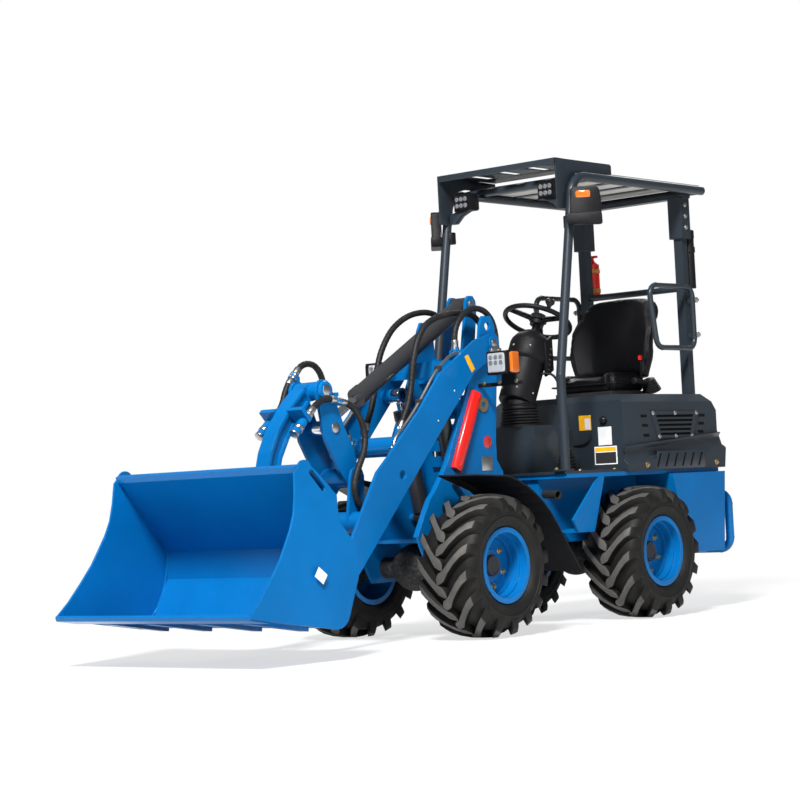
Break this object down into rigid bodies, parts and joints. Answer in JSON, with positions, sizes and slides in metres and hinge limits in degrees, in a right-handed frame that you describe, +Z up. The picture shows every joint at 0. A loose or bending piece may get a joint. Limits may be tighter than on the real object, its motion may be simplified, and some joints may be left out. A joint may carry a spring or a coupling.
{
  "type": "compact articulated wheel loader",
  "caption": "Compact articulated wheel loader: open canopy over the seat, rear engine hood, and a parallel-lift boom with rocker and cylinders that carries a front bucket.",
  "frame": {"origin": "on the ground under the middle of the machine's outline", "axes": "+X forward to the bucket, +Y to the driver's left, +Z up"},
  "size_m": [3.8749, 1.1854, 2.288],
  "materials": {
    "blue_paint": "gloss enamel",
    "grey_paint": "satin powder coat",
    "black_paint": "satin",
    "black_plastic": "fine grain",
    "lamp": "clear and amber lenses",
    "vinyl": "grained vinyl",
    "tyre": "matte rubber",
    "cast": "as cast, painted",
    "chrome_rod": "polished",
    "red_paint": "gloss",
    "hose": "spiral wrapped"
  },
  "bodies": {
    "rear_chassis": {"rear_frame": "blue_paint", "counterweight": "blue_paint", "rear_bumper": "blue_paint", "rear_axle": "cast", "engine": "cast", "hood": "grey_paint", "floor_deck": "grey_paint", "console_base": "grey_paint", "console_column": "black_plastic", "steering_wheel": "black_plastic", "levers": "black_plastic", "seat_base": "vinyl", "seat_cushion": "vinyl", "seat_back": "vinyl", "canopy_frame": "grey_paint", "rear_posts": "grey_paint", "roof_panel": "black_paint", "header_guard": "black_paint", "work_lamps": "lamp", "mirrors": "black_plastic", "side_guards": "grey_paint", "document_tube": "black_plastic", "extinguisher": "red_paint"},
    "front_chassis": {"front_frame": "blue_paint", "front_axle": "cast", "fenders": "black_plastic", "head_lamps": "lamp", "safety_strut": "red_paint"},
    "boom_arm": {"boom": "blue_paint", "hose_boom_left": "hose", "hose_boom_right": "hose", "hose_arch": "hose", "hose_rocker_left": "hose", "hose_rocker_right": "hose"},
    "rocker_arm": {"rocker": "blue_paint"},
    "link_arm": {"link": "blue_paint", "couplers": "blue_paint", "hose_link_left": "hose", "hose_link_right": "hose"},
    "bucket_tool": {"bucket": "blue_paint"},
    "lift_cylinder_barrels": {"lift_barrels": "black_paint"},
    "lift_cylinder_rods": {"lift_rods": "chrome_rod"},
    "tilt_cylinder_barrel": {"tilt_barrel": "black_paint"},
    "tilt_cylinder_rod": {"tilt_rod": "chrome_rod"},
    "wheel_fl": {"tyre_fl": "tyre", "rim_fl": "blue_paint"},
    "wheel_fr": {"tyre_fr": "tyre", "rim_fr": "blue_paint"},
    "wheel_rl": {"tyre_rl": "tyre", "rim_rl": "blue_paint"},
    "wheel_rr": {"tyre_rr": "tyre", "rim_rr": "blue_paint"}
  },
  "joints": [
    {"name": "articulation", "type": "hinge", "parent": "rear_chassis", "child": "front_chassis", "pos_m": [-0.435, 0, 0.5], "axis": [0, 0, 1], "range_deg": [-38, 38]},
    {"name": "boom_lift", "type": "hinge", "parent": "front_chassis", "child": "boom_arm", "pos_m": [-0.185, 0, 1.38], "axis": [0, -1, 0], "range_deg": [-4, 68], "deforming": ["hose_boom_left", "hose_boom_right", "hose_arch"]},
    {"name": "bucket_tilt", "type": "hinge", "parent": "boom_arm", "child": "bucket_tool", "pos_m": [1.055, 0, 0.225], "axis": [0, 1, 0], "range_deg": [-25, 70]},
    {"name": "rocker_turn", "type": "hinge", "parent": "boom_arm", "child": "rocker_arm", "pos_m": [0.717, 0, 0.766], "axis": [0, 1, 0], "range_deg": [-23, 62], "deforming": ["hose_rocker_left", "hose_rocker_right"]},
    {"name": "link_turn", "type": "hinge", "parent": "rocker_arm", "child": "link_arm", "pos_m": [0.883, 0, 1.16], "axis": [0, 1, 0], "range_deg": [-62, 23], "deforming": ["hose_link_left", "hose_link_right"]},
    {"name": "lift_barrel_turn", "type": "hinge", "parent": "front_chassis", "child": "lift_cylinder_barrels", "pos_m": [-0.005, 0, 0.56], "axis": [0, -1, 0], "range_deg": [-2, 6]},
    {"name": "lift_rod_slide", "type": "slide", "parent": "lift_cylinder_barrels", "child": "lift_cylinder_rods", "axis": [0.2152, 0, 0.9766], "range_m": [-0.03, 0.44]},
    {"name": "tilt_barrel_turn", "type": "hinge", "parent": "front_chassis", "child": "tilt_cylinder_barrel", "pos_m": [-0.235, 0, 1.583], "axis": [0, -1, 0], "range_deg": [-5, 66]},
    {"name": "tilt_rod_slide", "type": "slide", "parent": "tilt_cylinder_barrel", "child": "tilt_cylinder_rod", "axis": [0.8722, 0, -0.4891], "range_m": [-0.24, 0.02]},
    {"name": "wheel_spin_fl", "type": "hinge", "parent": "front_chassis", "child": "wheel_fl", "pos_m": [0.202, 0.407, 0.33], "axis": [0, 1, 0], "continuous": true},
    {"name": "wheel_spin_fr", "type": "hinge", "parent": "front_chassis", "child": "wheel_fr", "pos_m": [0.202, -0.407, 0.33], "axis": [0, 1, 0], "continuous": true},
    {"name": "wheel_spin_rl", "type": "hinge", "parent": "rear_chassis", "child": "wheel_rl", "pos_m": [-1.072, 0.407, 0.33], "axis": [0, 1, 0], "continuous": true},
    {"name": "wheel_spin_rr", "type": "hinge", "parent": "rear_chassis", "child": "wheel_rr", "pos_m": [-1.072, -0.407, 0.33], "axis": [0, 1, 0], "continuous": true}
  ],
  "couplings": [
    {"joint": "rocker_turn", "follows": "bucket_tilt", "ratio": 0.87},
    {"joint": "link_turn", "follows": "bucket_tilt", "ratio": -0.86},
    {"joint": "tilt_rod_slide", "follows": "boom_lift", "m_per_rad": -0.194},
    {"joint": "lift_barrel_turn", "follows": "boom_lift", "ratio": 0.03},
    {"joint": "lift_rod_slide", "follows": "boom_lift", "m_per_rad": 0.362},
    {"joint": "tilt_barrel_turn", "follows": "boom_lift", "ratio": 0.95}
  ]
}
